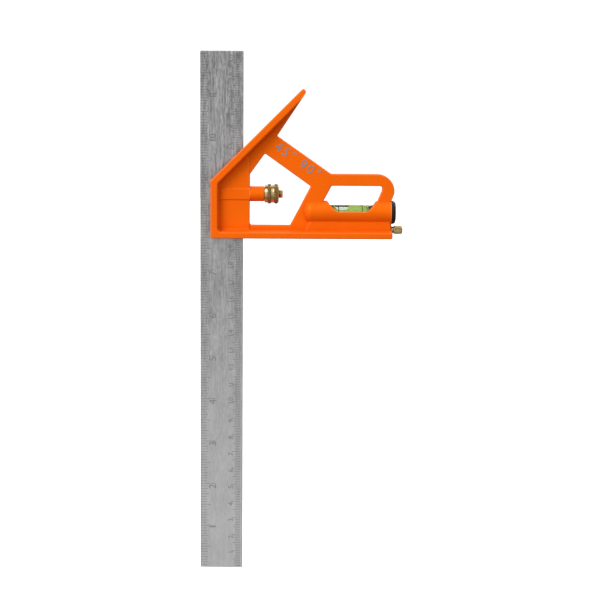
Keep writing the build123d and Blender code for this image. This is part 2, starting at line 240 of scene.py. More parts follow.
# --- softboxes: name, place, aim and size in metres, watts, and the one piece it lights ---
SOFTBOXES = (
    ("key_softbox", (-0.9, -1.3, 1.3), (0.05, 0, 0), (1.0, 1.0), 22.0, None),
    ("back_softbox", (0.8, 1.4, 1.2), (0.05, 0, 0), (1.2, 0.8), 14.0, None),
    ("low_softbox", (0.0125, -1.35, -0.55), (0.0125, 0, -0.15), (0.5, 0.60), 1.75, "blade_rule"),
)

# --- floor ---
FLOOR_HALF_SIDE = 6000.0
FLOOR_GAP = 0.5
FLOOR_LIFT = 0.4

# --- camera: angles in degrees ---
LENS = 102.4
SENSOR_WIDTH = 36.0
CLIP_END = 100_000.0
CAMERA_TARGET = (58.4, -0.6, -36.4)
CAMERA_DISTANCE = 1000.0
CAMERA_TILT = 6.16
CAMERA_ROLL = 0.33


# ---------------------------------------------------------------- materials


class Shader:
    """One node material. An input that is given a socket is linked; any other value is set."""

    def __init__(self, name):
        self.material = bpy.data.materials.new(name)
        self.material.use_nodes = True
        self.tree = self.material.node_tree
        self.tree.nodes.clear()
        self.coords = self.node("ShaderNodeTexCoord").outputs["Object"]

    def node(self, kind, inputs=None, **settings):
        made = self.tree.nodes.new(kind)
        for key, value in settings.items():
            setattr(made, key, value)
        for key, value in (inputs or {}).items():
            socket = made.inputs[key]
            if isinstance(value, bpy.types.NodeSocket):
                self.tree.links.new(value, socket)
            else:
                socket.default_value = value
        return made

    def noise(self, size, stretch=(1, 1, 1), detail=2.0, rough=0.5):
        """Noise whose features are about size mm, and longer along each axis by its stretch."""
        scale = [1 / (size * MM * factor) for factor in stretch]
        mapped = self.node("ShaderNodeMapping", {"Vector": self.coords, "Scale": scale})
        inputs = {
            "Vector": mapped.outputs[0],
            "Scale": 1.0,
            "Detail": detail,
            "Roughness": rough,
        }
        return self.node("ShaderNodeTexNoise", inputs).outputs["Fac"]

    def remap(self, value, low, high, out_low, out_high):
        inputs = {
            "Value": value,
            "From Min": low,
            "From Max": high,
            "To Min": out_low,
            "To Max": out_high,
        }
        return self.node("ShaderNodeMapRange", inputs).outputs[0]

    def math(self, operation, a, b=0.0):
        return self.node("ShaderNodeMath", {0: a, 1: b}, operation=operation).outputs[0]

    def mix(self, share, a, b):
        inputs = {"Fac": share, "Color1": a, "Color2": b}
        return self.node("ShaderNodeMixRGB", inputs).outputs[0]

    def bump(self, height, depth, strength=1.0, normal=None):
        inputs = {"Height": height, "Distance": depth * MM, "Strength": strength}
        if normal is not None:
            inputs["Normal"] = normal
        return self.node("ShaderNodeBump", inputs).outputs[0]

    def rounded_normal(self, radius):
        """Normal that bends over the edges as if they were rounded."""
        inputs = {"Radius": radius * MM}
        return self.node("ShaderNodeBevel", inputs, samples=4).outputs[0]

    def occlusion(self, distance, inside=False):
        """1 in the open, less where faces within the distance close in."""
        inputs = {"Distance": distance * MM}
        made = self.node("ShaderNodeAmbientOcclusion", inputs, samples=16, inside=inside)
        return made.outputs["AO"]

    def facing(self):
        """0 where the surface faces the viewer, 1 where it turns away."""
        return self.node("ShaderNodeLayerWeight", {"Blend": 0.5}).outputs["Facing"]

    def principled(self, **inputs):
        named = {key.replace("_", " "): value for key, value in inputs.items()}
        surface = self.node("ShaderNodeBsdfPrincipled", named)
        self.output(surface.outputs[0])
        return self.material

    def output(self, surface):
        self.node("ShaderNodeOutputMaterial", {"Surface": surface})
        return self.material


def grey(value):
    return (value, value, value, 1.0)


def grey_pair(values):
    return [grey(value) for value in values]


def powder_coat():
    """Orange powder coat: orange-peel surface, painted shade in the creases, and paler over the
    outer edges, partly thinner paint and partly a painted highlight.
    """
    s = Shader("powder_coat_orange")
    peel = s.noise(0.55, detail=1.0)
    grain = s.noise(0.12, detail=2.0)
    tone = s.noise(14.0, detail=3.0)
    # painted shade: the coat darkens where faces within 5.5 mm close in, in place of shadow in
    # creases and under overhangs
    painted_crease_shade = s.remap(s.occlusion(5.5), 0.30, 0.97, 1.0, 0.0)
    # paler over the outer edges, partly thinner paint and partly a painted highlight; the same mask
    # moves the specular tint towards white
    edge = s.remap(s.occlusion(0.8, inside=True), 0.45, 0.95, 1.0, 0.0)
    body = s.mix(tone, *COAT)
    body = s.mix(s.math("MULTIPLY", painted_crease_shade, 0.5), body, COAT_PAINTED_CREASE_SHADE)
    body = s.mix(s.math("MULTIPLY", edge, 0.75), body, COAT_EDGE_WEAR_AND_HIGHLIGHT)
    normal = s.bump(grain, 0.010, normal=s.rounded_normal(0.45))
    normal = s.bump(peel, 0.030, strength=0.7, normal=normal)
    return s.principled(
        Base_Color=body,
        Roughness=s.remap(grain, 0.3, 0.7, 0.28, 0.40),
        Normal=normal,
        Specular_IOR_Level=s.remap(s.facing(), 0.45, 0.78, 0.5, 0.0),
        Specular_Tint=s.mix(edge, *COAT_SHEEN),
    )


def brushed_steel(name, greys, roughness):
    """Steel with scratches along Z over soft blotches; their contrast grows towards the upper end.
    """
    s = Shader(name)
    fine = s.noise(0.10, (1, 1, 60), detail=3.0)
    streak = s.noise(0.9, (1, 1, 14), detail=3.0, rough=0.6)
    scuff = s.noise(0.7, (1, 1, 4.5), detail=3.0, rough=0.6)
    blotch = s.noise(9.0, (1, 1, 2.5), detail=4.0, rough=0.6)
    lines = s.math("ADD", s.math("MULTIPLY", streak, 0.35), s.math("MULTIPLY", scuff, 0.35))
    tone = s.math("ADD", lines, s.math("MULTIPLY", blotch, 0.30))
    height = s.node("ShaderNodeSeparateXYZ", {0: s.coords}).outputs["Z"]
    streak_contrast = s.remap(height, STREAK_CONTRAST_LOW_Z * MM, STREAK_CONTRAST_HIGH_Z * MM, *STREAK_CONTRAST_RANGE)
    tone = s.math("MULTIPLY", s.remap(tone, 0.38, 0.62, -0.5, 0.5), streak_contrast)
    tone = s.math("ADD", tone, 0.5)
    return s.principled(
        Base_Color=s.mix(tone, *grey_pair(greys)),
        Metallic=1.0,
        Roughness=s.math("ADD", s.remap(streak, 0.3, 0.7, -0.05, 0.07), roughness),
        Normal=s.bump(fine, 0.006, strength=0.6),
    )


def etched(name, greys):
    """Matt dark metal at the bottom of an etched mark."""
    s = Shader(name)
    fleck = s.noise(0.15, detail=2.0)
    return s.principled(
        Base_Color=s.mix(fleck, *grey_pair(greys)),
        Metallic=0.95,
        Roughness=0.45,
        Normal=s.bump(fleck, 0.02),
    )


def brass(name, colours):
    """Turned brass: fine rings round X, dark in the knurling."""
    s = Shader(name)
    rings = s.noise(0.12, (1, 60, 60), detail=2.0)
    tarnish = s.noise(1.6, detail=4.0, rough=0.65)
    # darker where faces within 1 mm close in, such as the knurl grooves
    hollow_darkening = s.remap(s.occlusion(1.0), 0.25, 0.95, 1.0, 0.0)
    clean = s.mix(tarnish, *colours)
    return s.principled(
        Base_Color=s.mix(s.math("MULTIPLY", hollow_darkening, 0.9), clean, BRASS_IN_HOLLOWS),
        Metallic=1.0,
        Roughness=s.remap(tarnish, 0.3, 0.7, 0.20, 0.34),
        Normal=s.bump(rings, 0.008, strength=0.5, normal=s.rounded_normal(0.08)),
    )


def plain_metal(name, dark_grey, roughness):
    """Ground wire, with fine lines round X."""
    s = Shader(name)
    lines = s.noise(0.06, (1, 40, 40), detail=2.0)
    return s.principled(
        Base_Color=s.mix(lines, grey(dark_grey), grey(WIRE_LIGHT_GREY)),
        Metallic=1.0,
        Roughness=s.remap(lines, 0.3, 0.7, roughness - 0.05, roughness + 0.08),
        Normal=s.bump(lines, 0.006, strength=0.5),
    )


def matte(name, colours, roughness, depth, specular=0.5):
    """Moulded plastic or printed paint with a fine grain."""
    s = Shader(name)
    grain = s.noise(0.18, detail=3.0)
    return s.principled(
        Base_Color=s.mix(grain, *colours),
        Roughness=s.remap(grain, 0.3, 0.7, roughness - 0.08, roughness + 0.08),
        Specular_IOR_Level=specular,
        Normal=s.bump(grain, depth, strength=0.6),
    )


def clear_vial():
    """Clear acrylic, with painted dark olive shade where it is seen edge on; its inner faces border
    on liquid, not air.
    """
    outer = Shader("vial_acrylic")
    haze = outer.noise(2.0, detail=2.0)
    # painted shade: the tube turns dark olive where it is seen edge on
    edge_on_shade = outer.remap(outer.facing(), 0.45, 0.68, 0.0, 1.0)
    outer.principled(
        Base_Color=outer.mix(edge_on_shade, ACRYLIC, ACRYLIC_PAINTED_EDGE_SHADE),
        Transmission_Weight=1.0,
        IOR=ACRYLIC_IOR,
        Roughness=outer.remap(haze, 0.3, 0.7, 0.0, 0.03),
    )
    inner = Shader("vial_acrylic_wet")
    haze = inner.noise(2.0, detail=2.0)
    inner.principled(
        Base_Color=grey(1.0),
        Transmission_Weight=1.0,
        IOR=ACRYLIC_IOR / LIQUID_IOR,
        Roughness=inner.remap(haze, 0.3, 0.7, 0.0, 0.03),
    )
    return outer.material, inner.material


def glowing(s, colour, share, glow):
    """Body that is lit from all sides, with a painted glow as if lit from within, over a clear
    share tinted the same.
    """
    clear = s.node("ShaderNodeBsdfTransparent", {"Color": colour})
    lit = s.node("ShaderNodeBsdfDiffuse", {"Color": colour})
    through = s.node("ShaderNodeBsdfTranslucent", {"Color": colour})
    # painted glow: the body gives off light of its own colour, though it is no lamp
    light = s.node("ShaderNodeEmission", {"Color": colour, "Strength": glow})
    body = s.node("ShaderNodeMixShader", {0: 0.5, 1: lit.outputs[0], 2: through.outputs[0]})
    body = s.node("ShaderNodeAddShader", {0: body.outputs[0], 1: light.outputs[0]})
    both = s.node("ShaderNodeMixShader", {0: share, 1: clear.outputs[0], 2: body.outputs[0]})
    return s.output(both.outputs[0])


def vial_liquid(middle, half):
    """Yellow-green dye with a painted glow, and painted shade that darkens it towards its ends."""
    s = Shader("vial_liquid_green")
    cloud = s.noise(5.0, detail=2.0)
    along = s.node("ShaderNodeSeparateXYZ", {0: s.coords}).outputs["X"]
    off = s.math("ABSOLUTE", s.math("SUBTRACT", along, middle * MM))
    shade_from, shade_to = (share * half * MM for share in LIQUID_SHADE)
    # painted shade: darker towards both ends of the cavity, where the casting shades it
    end = s.remap(off, shade_from, shade_to, 0.0, 1.0)
    colour = s.mix(end, s.mix(cloud, *LIQUID), LIQUID_PAINTED_END_SHADE)
    # the liquid gets a painted glow
    return glowing(s, colour, share=0.6, glow=0.35)


def air_bubble():
    """Air inside liquid, in painted light: pale as a painted reflection, with a painted black line
    where its skin turns away, and a painted glow.
    """
    s = Shader("air_bubble_skin")
    ripple = s.math("MULTIPLY", s.noise(1.5, detail=1.0), 0.1)
    # painted shade: a black outline where the skin turns away
    line = s.remap(s.math("ADD", s.facing(), ripple), 0.36, 0.50, 0.0, 1.0)
    # pale painted reflection and a painted glow over the bubble
    return glowing(s, s.mix(line, BUBBLE_PAINTED_PALE, BUBBLE_PAINTED_OUTLINE), share=0.85, glow=0.45)


# ---------------------------------------------------------------- mesh tools


def clipped(value):
    return min(1.0, max(0.0, value))


def new_piece(name, bm, *materials, angle=SMOOTH_ANGLE):
    """Piece from a bmesh in metres, smooth except where faces meet at more than angle degrees."""
    bmesh.ops.recalc_face_normals(bm, faces=bm.faces)
    mesh = bpy.data.meshes.new(name)
    bm.to_mesh(mesh)
    bm.free()
    for material in materials:
        mesh.materials.append(material)
    piece = bpy.data.objects.new(name, mesh)
    bpy.context.scene.collection.objects.link(piece)
    shade(piece, angle)
    return piece


def shade(piece, angle=SMOOTH_ANGLE):
    piece.data.shade_smooth()
    piece.data.set_sharp_from_angle(angle=math.radians(angle))


def flatten(piece, axis):
    """Flat shading for faces square to an axis, so that the rounding beside them stays off them."""
    for face in piece.data.polygons:
        if abs(face.normal[axis]) > SQUARE_TO_AXIS:
            face.use_smooth = False


def carve(piece, tool, operation="DIFFERENCE"):
    """Cuts the tool out of the piece, or joins it on, and removes the tool."""
    cut = piece.modifiers.new("carve", "BOOLEAN")
    cut.operation = operation
    cut.object = tool
    cut.solver = "MANIFOLD"
    bpy.context.view_layer.update()
    evaluated = piece.evaluated_get(bpy.context.evaluated_depsgraph_get())
    mesh = bpy.data.meshes.new_from_object(evaluated)
    piece.modifiers.clear()
    before = piece.data
    piece.data = mesh
    bpy.data.meshes.remove(before)
    mesh.name = piece.name
    bpy.data.objects.remove(tool)


def add_box(bm, low, high, material_index=0):
    """Box between two corners given in mm."""
    middle = [(a + b) / 2 * MM for a, b in zip(low, high)]
    size = [(b - a) * MM for a, b in zip(low, high)]
    matrix = Matrix.Translation(middle) @ Matrix.Diagonal((*size, 1))
    made = bmesh.ops.create_cube(bm, size=1.0, matrix=matrix)
    for face in {face for vert in made["verts"] for face in vert.link_faces}:
        face.material_index = material_index


def rounded(points, radius, closed=False, steps=3):
    """The outline with a short curve in place of each corner."""
    result = []
    last = len(points) - 1
    for index, point in enumerate(points):
        corner = Vector(point)
        if not closed and index in (0, last):
            result.append(corner)
            continue
        before = Vector(points[index - 1]) - corner
        after = Vector(points[(index + 1) % len(points)]) - corner
        reach = min(radius, 0.45 * before.length, 0.45 * after.length)
        start = corner + before.normalized() * reach
        end = corner + after.normalized() * reach
        for step in range(steps + 1):
            t = step / steps
            result.append(start.lerp(corner, t).lerp(corner.lerp(end, t), t))
    return result


def bridge(bm, left, right):
    """Quads between two rings with the same number of vertices."""
    for step in range(len(left)):
        bm.faces.new((left[step - 1], left[step], right[step], right[step - 1]))


def close_ring(bm, ring, place):
    """Triangles between a ring and a point, given in mm."""
    tip = bm.verts.new(Vector(place) * MM)
    for step in range(len(ring)):
        bm.faces.new((ring[step - 1], ring[step], tip))


def spun(profile, z, segments=ROUND_SEGMENTS, shape=None, closed=False):
    """Solid round an axis along X at height z, from (x, radius) points. A closed profile makes a
    ring. shape(x, radius, angle) may change the radius; the angle runs from +Z towards +Y."""
    bm = bmesh.new()
    rings = []
    for x, radius in profile:
        ring = []
        for step in range(segments):
            angle = 2 * math.pi * step / segments
            reach = shape(x, radius, angle) if shape else radius
            place = Vector((x, reach * math.sin(angle), z + reach * math.cos(angle)))
            ring.append(bm.verts.new(place * MM))
        rings.append(ring)
    pairs = list(zip(rings, rings[1:]))
    if closed:
        pairs.append((rings[-1], rings[0]))
    else:
        for end in (0, -1):
            close_ring(bm, rings[end], (profile[end][0], 0, z))
    for left, right in pairs:
        bridge(bm, left, right)
    return bm


def straight_knurl(teeth, base, depth):
    """Shape for spun(): V grooves along X wherever the profile stands above the base radius."""

    def shape(x, radius, angle):
        valley = 0.5 - 0.5 * math.cos(teeth * angle)
        share = clipped((radius - base) / depth)
        return radius - depth * share * valley**1.5

    return shape


def text_bmesh(text, height, half_depth, spacing=1.0):
    """Numerals as a closed bmesh in mm, lying in its XY plane with the baseline at Y = 0."""
    curve = bpy.data.curves.new("numerals", "FONT")
    curve.body = text
    curve.size = height / CAP_SHARE
    curve.extrude = half_depth
    curve.resolution_u = NUMERAL_CURVE_STEPS
    curve.space_character = spacing
    holder = bpy.data.objects.new("numerals", curve)
    bpy.context.scene.collection.objects.link(holder)
    bpy.context.view_layer.update()
    evaluated = holder.evaluated_get(bpy.context.evaluated_depsgraph_get())
    mesh = bpy.data.meshes.new_from_object(evaluated)
    bm = bmesh.new()
    bm.from_mesh(mesh)
    bmesh.ops.remove_doubles(bm, verts=bm.verts, dist=NUMERAL_WELD)
    bpy.data.meshes.remove(mesh)
    bpy.data.objects.remove(holder)
    bpy.data.curves.remove(curve)
    return bm


def span(bm, axis):
    values = [vert.co[axis] for vert in bm.verts]
    return min(values), max(values)


# ---------------------------------------------------------------- pieces


def node_size(node):
    """A CAD node's lowest and highest corners in mm."""
    low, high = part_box(node)
    return low / MM, high / MM


def round_node_size(node):
    """The corners of a CAD node that is round about X, and the height of its axis."""
    low, high = node_size(node)
    return low, high, (low.z + high.z) / 2


def stand_for(piece, node, body):
    """The piece is drawn in place of a CAD node, and moves with a body."""
    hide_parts(node)
    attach(piece, body)


def tick_length(number, lengths):
    """Length of a graduation: the longest whose step divides its number."""
    return next(length for step, length in lengths.items() if number % step == 0)


def add_graduations(bm, low, high, y_low, y_high):
    """Sixteenths of an inch from the left edge, millimetres beside the right one."""
    half = ETCH_WIDTH / 2
    left = low.x - TICK_OVERRUN
    for number in range(1, round((high.z - low.z) / INCH * TICKS_PER_INCH)):
        z = low.z + number * INCH / TICKS_PER_INCH
        reach = low.x + tick_length(number, INCH_TICKS)
        add_box(bm, (left, y_low, z - half), (reach, y_high, z + half), LINE_SLOT)
    right = high.x - MILLIMETRE_INSET
    for number in range(1, int(high.z - low.z)):
        z = low.z + number
        reach = right - tick_length(number, MILLIMETRE_TICKS)
        add_box(bm, (reach, y_low, z - half), (right, y_high, z + half), LINE_SLOT)


def add_digit(bm, digit, height, x, z, y, half_depth, above):
    """One numeral, its foot at x, reading up the blade, just above or below the height z."""
    glyph = text_bmesh(digit, height, half_depth)
    start, end = span(glyph, 0)
    first = z + NUMERAL_GAP - start if above else z - NUMERAL_GAP - end
    for vert in glyph.verts:
        across, up, out = vert.co
        vert.co = Vector((x - up, y - out, first + across)) * MM
    for face in glyph.faces:
        face.material_index = NUMERAL_SLOT
    mesh = bpy.data.meshes.new("digit")
    glyph.to_mesh(mesh)
    glyph.free()
    bm.from_mesh(mesh)
    bpy.data.meshes.remove(mesh)


def add_numerals(bm, low, high, step, height, x, y, half_depth):
    """A number at each whole step: one digit below its line, or two that straddle it."""
    for number in range(1, math.ceil((high.z - low.z) / step)):
        z = low.z + number * step
        for place, digit in enumerate(str(number)):
            add_digit(bm, digit, height, x, z, y, half_depth, above=place > 0)


def make_blade(*etching):
    """The rule with bevelled edges and etched graduations that are really cut in."""
    low, high = node_size("blade")
    bm = bmesh.new()
    bm.from_mesh(frame["nodes"]["blade"].data)
    bmesh.ops.remove_doubles(bm, verts=bm.verts, dist=BLADE_WELD)
    flat = {"angle_limit": BLADE_FLAT_RADIANS, "verts": bm.verts, "edges": bm.edges}
    bmesh.ops.dissolve_limit(bm, **flat)
    sharp = [edge for edge in bm.edges if edge.calc_face_angle(0) > BLADE_SHARP_RADIANS]
    bmesh.ops.bevel(bm, geom=sharp, affect="EDGES", **BLADE_BEVEL)
    for face in bm.faces:
        face.material_index = STEEL_SLOT
    blade = new_piece("blade_rule", bm, *etching)
    y = low.y
    tool = bmesh.new()
    add_graduations(tool, low, high, y - ETCH_DEPTH, y + ETCH_DEPTH)
    for step, height, x in (
        (INCH, INCH_NUMERAL_HEIGHT, INCH_NUMERAL_X),
        (CENTIMETRE, CENTIMETRE_NUMERAL_HEIGHT, CENTIMETRE_NUMERAL_X),
    ):
        add_numerals(tool, low, high, step, height, x, y, ETCH_DEPTH)
    carve(blade, new_piece("etching", tool, *etching))
    shade(blade)
    flatten(blade, 1)
    stand_for(blade, "blade", "blade")


def make_nut(smooth, knurled):
    """Turned nut with two knurled collars, a smooth waist and chamfered ends."""
    low, high, z = round_node_size("clamp_nut")
    crest = high.z - z
    (left_run, left_drop), (right_run, right_drop) = NUT_CHAMFERS
    profile = [(low.x, NUT_BORE), (low.x, NUT_BAND - left_drop), (low.x + left_run, NUT_BAND)]
    for start, end in NUT_COLLARS:
        profile += [
            (low.x + start, NUT_BAND),
            (low.x + start + NUT_COLLAR_SLOPE, crest),
            (low.x + end - NUT_COLLAR_SLOPE, crest),
            (low.x + end, NUT_BAND),
        ]
    profile += [
        (high.x - right_run, NUT_BAND),
        (high.x, NUT_BAND - right_drop),
        (high.x, NUT_BORE),
    ]
    shape = straight_knurl(NUT_TEETH, crest - NUT_KNURL_DEPTH, NUT_KNURL_DEPTH)
    outline = rounded(profile, TURNED_ROUNDING, closed=True)
    bm = spun(outline, z, NUT_TEETH * KNURL_STEPS, shape, closed=True)
    # faces on the knurled collars take the second material, a darker brass that paints in their
    # shade
    for face in bm.faces:
        centre = face.calc_center_median() / MM
        if math.hypot(centre.y, centre.z - z) > NUT_KNURL_FROM:
            face.material_index = 1
    nut = new_piece("clamp_nut_knurled", bm, smooth, knurled, angle=KNURL_SMOOTH_ANGLE)
    flatten(nut, 0)
    stand_for(nut, "clamp_nut", "clamp_nut")


def thread_shape(start):
    """Shape for spun(): a right-hand thread beyond start, its crest and root a little blunt."""
    at_root, steepness = THREAD_BLUNTNESS

    def shape(x, radius, angle):
        turn = (x - start) / THREAD_PITCH + angle / (2 * math.pi)
        ridge = 1 - abs(2 * (turn % 1.0) - 1)
        depth = THREAD_DEPTH * clipped((x - start) / THREAD_PITCH)
        return radius - depth * clipped(at_root - steepness * ridge)

    return shape


def make_bolt(metal):
    """Clamp bolt: half-round head with a lug behind the blade, spring shank, real thread."""
    low, high, z = round_node_size("clamp_bolt")
    head = high.z - z
    shoulder = high.x - BOLT_SHOULDER_BACK
    thread = high.x - BOLT_THREAD_BACK
    head_outline = [
        (low.x, head - BOLT_HEAD_CHAMFER),
        (low.x + BOLT_HEAD_CHAMFER, head),
        (shoulder, head),
        (shoulder, BOLT_SHANK),
    ]
    profile = rounded(head_outline, BOLT_HEAD_ROUNDING)
    profile += [Vector((thread - BOLT_NECK, BOLT_SHANK)), Vector((thread, THREAD_RADIUS))]
    steps = round((high.x - THREAD_END_BACK - thread) / (THREAD_PITCH / THREAD_STEPS))
    for step in range(1, steps + 1):
        profile.append(Vector((thread + step * THREAD_PITCH / THREAD_STEPS, THREAD_RADIUS)))
    for back, drop in BOLT_TIP:
        profile.append(Vector((high.x - back, THREAD_RADIUS - drop)))
    bm = spun(profile, z, BOLT_SEGMENTS, thread_shape(thread))
    bolt = new_piece("clamp_bolt_threaded", bm, metal)
    cutter = bmesh.new()
    cutter_low = (low.x - CUTTER_PAST_END, -CUTTER_REACH, z - CUTTER_REACH)
    add_box(cutter, cutter_low, (high.x - BOLT_FLAT_BACK, BOLT_FLAT_Y, z + CUTTER_REACH))
    carve(bolt, new_piece("bolt_flat", cutter))
    lug = bmesh.new()
    lug_low = (LUG_RIGHT_X - LUG_WIDTH, LUG_LOW_Y, z - LUG_HALF)
    add_box(lug, lug_low, (LUG_RIGHT_X, BOLT_FLAT_Y + LUG_ROOT, z + LUG_HALF))
    carve(bolt, new_piece("bolt_lug", lug), "UNION")
    shade(bolt)
    flatten(bolt, 0)
    stand_for(bolt, "clamp_bolt", "clamp_bolt")


def make_spring(metal):
    """Coil spring with closed ends. On the real tool it lengthens as the bolt moves towards the
    blade; here it keeps one length.
    """
    low, high, z = round_node_size("clamp_spring")
    coil = high.z - z - SPRING_WIRE
    first = low.x + SPRING_WIRE
    last = high.x - SPRING_WIRE
    open_turns = SPRING_TURNS - 2 * SPRING_CLOSED_TURNS
    steps = round(SPRING_TURNS * SPRING_STEPS)
    bm = bmesh.new()
    rings = []
    for step in range(steps + 1):
        share = step / steps
        open_part = clipped((share * SPRING_TURNS - SPRING_CLOSED_TURNS) / open_turns)
        angle = 2 * math.pi * SPRING_TURNS * share
        centre = Vector((first + (last - first) * open_part, 0, z))
        out = Vector((0, math.sin(angle), math.cos(angle)))
        ring = []
        for side in range(SPRING_SIDES):
            turn = 2 * math.pi * side / SPRING_SIDES
            reach = out * (coil + SPRING_WIRE * math.cos(turn))
            place = centre + reach + Vector((SPRING_WIRE * math.sin(turn), 0, 0))
            ring.append(bm.verts.new(place * MM))
        rings.append(ring)
    for left, right in zip(rings, rings[1:]):
        bridge(bm, left, right)
    bm.faces.new(rings[0])
    bm.faces.new(rings[-1])
    spring = new_piece("clamp_spring_coil", bm, metal)
    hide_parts("clamp_spring")
    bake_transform(spring)


def barrel(left, right, gap=0.0):
    """Profile of the cavity: widest half-way, so that the bubble seeks the middle."""
    points = []
    for step in range(CAVITY_STEPS + 1):
        share = step / CAVITY_STEPS
        bulge = (CAVITY_MIDDLE - CAVITY_END) * (1 - (2 * share - 1) ** 2)
        points.append(Vector((left + (right - left) * share, CAVITY_END + bulge - gap)))
    return points


def make_vial():
    """Tube with a barrel-shaped cavity, and the liquid that fills it."""
    low, high, z = round_node_size("vial_tube")
    outer = high.z - z
    left = low.x + CAVITY_FROM_LEFT
    right = high.x - CAVITY_FROM_RIGHT
    corners = [
        (low.x, NEAR_AXIS),
        (low.x, outer),
        (high.x, outer),
        (high.x, CAVITY_END),
        (right, CAVITY_END),
    ]
    outside = rounded(corners, VIAL_ROUNDING, steps=6)
    inside = barrel(left, right)[::-1]
    bm = spun(outside[:-1] + inside + [Vector((left, NEAR_AXIS))], z)
    for face in bm.faces:
        centre = face.calc_center_median() / MM
        depth = math.hypot(centre.y, centre.z - z)
        if left - VIAL_END_MARGIN < centre.x < right and depth < outer - VIAL_OUTER_SKIN:
            face.material_index = 1
    tube = new_piece("vial_tube_clear", bm, *clear_vial())
    stand_for(tube, "vial_tube", "head")
    green = vial_liquid((left + right) / 2 + LIQUID_SHADE_SHIFT, (right - left) / 2)
    left += LIQUID_END_GAP
    right -= LIQUID_END_GAP
    profile = [Vector((left, NEAR_AXIS)), *barrel(left, right, LIQUID_SKIN)]
    profile.append(Vector((right, NEAR_AXIS)))
    liquid = new_piece("vial_liquid_fill", spun(profile, z), green)
    stand_for(liquid, "vial_liquid", "head")


def bubble_section(size):
    """Cross-section of the bubble round the vial's axis: it hugs the tube and is flat below. A
    smaller size narrows it towards the top of the tube."""
    half = math.acos(BUBBLE_FLOOR / BUBBLE_CROWN) * size
    points = []
    for step in range(2 * BUBBLE_ARC_STEPS + 1):
        angle = half * (step / BUBBLE_ARC_STEPS - 1)
        points.append(Vector((BUBBLE_CROWN * math.sin(angle), BUBBLE_CROWN * math.cos(angle))))
    return rounded(points, BUBBLE_ROUNDING * size, closed=True, steps=4)


def make_bubble():
    """Air bubble pressed against the top of the tube, with rounded ends."""
    low, high = node_size("vial_bubble")
    z = round_node_size("vial_tube")[2]
    half = (high.x - low.x) / 2
    middle = (high.x + low.x) / 2
    bm = bmesh.new()
    rings = []
    for step in range(1, BUBBLE_STATIONS):
        along = -math.cos(math.pi * step / BUBBLE_STATIONS)
        ring = []
        for y, up in bubble_section((1 - abs(along) ** BUBBLE_BLUNTNESS) ** 0.5):
            ring.append(bm.verts.new(Vector((middle + half * along, y, z + up)) * MM))
        rings.append(ring)
    for left, right in zip(rings, rings[1:]):
        bridge(bm, left, right)
    for ring, x in ((rings[0], middle - half), (rings[-1], middle + half)):
        close_ring(bm, ring, (x, 0, z + BUBBLE_CROWN))
    bubble = new_piece("vial_air_bubble", bm, air_bubble(), angle=BUBBLE_SMOOTH_ANGLE)
    stand_for(bubble, "vial_bubble", "bubble")


def make_knob(metal):
    """Scriber's brass head: straight knurling between two chamfers, on a plain shank."""
    low, high, z = round_node_size("scriber_knob")
    crest = (high.z - low.z) / 2 + KNOB_CREST_RISE
    base = crest - KNOB_KNURL_DEPTH
    head = high.x - KNOB_LENGTH
    (left_run, left_drop), (right_run, right_drop) = KNOB_CHAMFERS
    profile = [
        (low.x, NEEDLE_HOLE),
        (low.x, KNOB_SHANK),
        (head, KNOB_SHANK),
        (head, base - left_drop),
        (head + left_run, crest),
        (high.x - right_run, crest),
        (high.x, base - right_drop),
    ]
    shape = straight_knurl(KNOB_TEETH, base, KNOB_KNURL_DEPTH)
    bm = spun(rounded(profile, TURNED_ROUNDING), z, KNOB_TEETH * KNURL_STEPS, shape)
    knob = new_piece("scriber_knob_knurled", bm, metal, angle=KNURL_SMOOTH_ANGLE)
    flatten(knob, 0)
    stand_for(knob, "scriber_knob", "scriber")


def make_marking(paint):
    """Plain angle numerals, raised a little on the arm and painted grey."""
    bm = text_bmesh(MARKING_TEXT, MARKING_HEIGHT, MARKING_RISE, spacing=MARKING_SPACING)
    start, end = span(bm, 0)
    slope = Matrix.Rotation(math.radians(MARKING_SLOPE), 2)
    for vert in bm.verts:
        across, up, out = vert.co
        flat = slope @ Vector((across - (start + end) / 2, up - MARKING_HEIGHT / 2))
        x = MARKING_CENTRE[0] + flat.x
        z = MARKING_CENTRE[1] + flat.y
        vert.co = Vector((x, -ARM_FRONT - out, z)) * MM
    marking = new_piece("arm_marking", bm, paint)
    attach(marking, "head")


# ---------------------------------------------------------------- stage


def floor_material():
    """Pale matt floor, lifted to the white of the surround where the camera sees it."""
    s = Shader("pale_floor")
    tone = s.noise(240.0, detail=2.0)
    camera_ray = s.node("ShaderNodeLightPath").outputs["Is Camera Ray"]
    return s.principled(
        Base_Color=s.mix(tone, *grey_pair(FLOOR_GREYS)),
        Roughness=0.7,
        Specular_IOR_Level=0.1,
        Emission_Color=grey(1.0),
        Emission_Strength=s.math("MULTIPLY", camera_ray, FLOOR_LIFT),
    )


def add_floor():
    """A pale floor that only the camera sees, just below the lowest that the blade slides."""
    slide = next(joint for joint in frame["joints"] if joint["name"] == "blade_slide")
    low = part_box("blade")[0].z + slide["range_m"][0] - FLOOR_GAP * MM
    mesh = bpy.data.meshes.new("floor")
    side = FLOOR_HALF_SIDE * MM
    corners = [(-side, -side, low), (side, -side, low), (side, side, low), (-side, side, low)]
    mesh.from_pydata(corners, [], [(0, 1, 2, 3)])
    mesh.materials.append(floor_material())
    floor = bpy.data.objects.new("floor", mesh)
    bpy.context.scene.collection.objects.link(floor)
    floor.visible_diffuse = False
    floor.visible_glossy = False
    floor.visible_shadow = False


